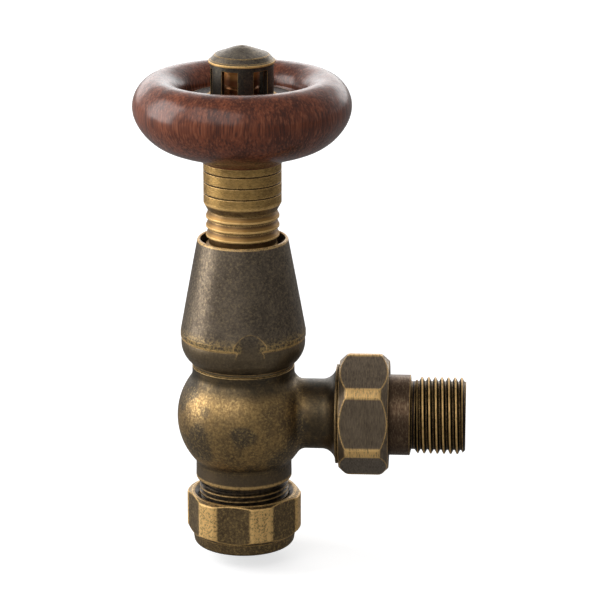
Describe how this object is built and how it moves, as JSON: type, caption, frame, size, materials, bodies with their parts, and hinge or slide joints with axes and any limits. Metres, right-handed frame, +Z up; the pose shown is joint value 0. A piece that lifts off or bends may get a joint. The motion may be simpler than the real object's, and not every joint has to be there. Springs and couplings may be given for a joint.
{
  "type": "angle stop valve",
  "caption": "Angled radiator valve with a wooden hand wheel on a threaded thermostatic head, a union tail and a compression pipe joint, in aged brass.",
  "frame": {"origin": "centre of the shoulder in the inlet that the pipe's end rests against, on the pipe axis, 15.5 mm below the tail's axis", "axes": "+Z up along the spindle, towards the wheel; +X along the tail, towards the radiator"},
  "size_m": [0.0904, 0.0588, 0.1403],
  "materials": {
    "aged_brass": "antique patina, brushed, worn bright on the edges",
    "dark_brass": "darker antique patina, mottled",
    "clean_brass": "bright machined",
    "copper": "satin copper",
    "steel": "drawn stainless steel",
    "rubber": "matt sealing rubber",
    "fibre": "pressed sealing fibre",
    "wood": "turned hardwood, reddish brown, lacquered"
  },
  "bodies": {
    "valve": {"valve_body": "aged_brass", "head_housing": "dark_brass", "insert_housing": "clean_brass", "insert_o_ring": "rubber", "gland_nut": "clean_brass", "gland_o_ring": "rubber", "return_spring": "steel"},
    "sensor": {"sensor_capsule": "copper", "overtravel_cup": "copper", "overtravel_spring": "steel"},
    "wheel": {"stem": "aged_brass", "stem_stop_clip": "steel", "wheel_ring": "wood", "wheel_nut": "dark_brass", "sensor_cage": "dark_brass", "cage_cap": "aged_brass"},
    "plunger": {"push_rod": "steel", "spindle": "steel", "spindle_clip": "steel", "disc_holder": "clean_brass", "disc_washer": "rubber", "disc_screw": "clean_brass"},
    "tail": {"tail_piece": "dark_brass", "union_washer": "fibre"},
    "union": {"union_nut": "aged_brass"},
    "ferrule": {"olive": "clean_brass"},
    "clamp": {"compression_nut": "aged_brass"}
  },
  "joints": [
    {"name": "sensor_rise", "type": "slide", "parent": "valve", "child": "sensor", "axis": [0, 0, 1], "range_m": [-0.00217, 0.00076], "deforming": ["return_spring"]},
    {"name": "head_turn", "type": "hinge", "parent": "sensor", "child": "wheel", "pos_m": [0, 0, 0.102], "axis": [0, 0, 1], "range_deg": [-300, 105]},
    {"name": "thermal_push", "type": "slide", "parent": "sensor", "child": "plunger", "axis": [0, 0, -1], "range_m": [0, 0.001], "stiffness_N_per_m": 4000, "deforming": ["return_spring"]},
    {"name": "tail_draw", "type": "slide", "parent": "valve", "child": "tail", "axis": [1, 0, 0], "range_m": [0, 0.00544]},
    {"name": "union_nut_turn", "type": "hinge", "parent": "tail", "child": "union", "pos_m": [0.033, 0, 0.0155], "axis": [1, 0, 0], "range_deg": [0, 1080]},
    {"name": "ferrule_draw", "type": "slide", "parent": "valve", "child": "ferrule", "axis": [0, 0, 1], "range_m": [-0.0045, 0]},
    {"name": "compression_nut_turn", "type": "hinge", "parent": "ferrule", "child": "clamp", "pos_m": [0, 0, -0.0135], "axis": [0, 0, 1], "range_deg": [-1080, 0]}
  ],
  "couplings": [
    {"joint": "head_turn", "follows": "sensor_rise", "rad_per_m": 2416.6},
    {"joint": "union_nut_turn", "follows": "tail_draw", "rad_per_m": 3463.7},
    {"joint": "compression_nut_turn", "follows": "ferrule_draw", "rad_per_m": 4188.8}
  ]
}
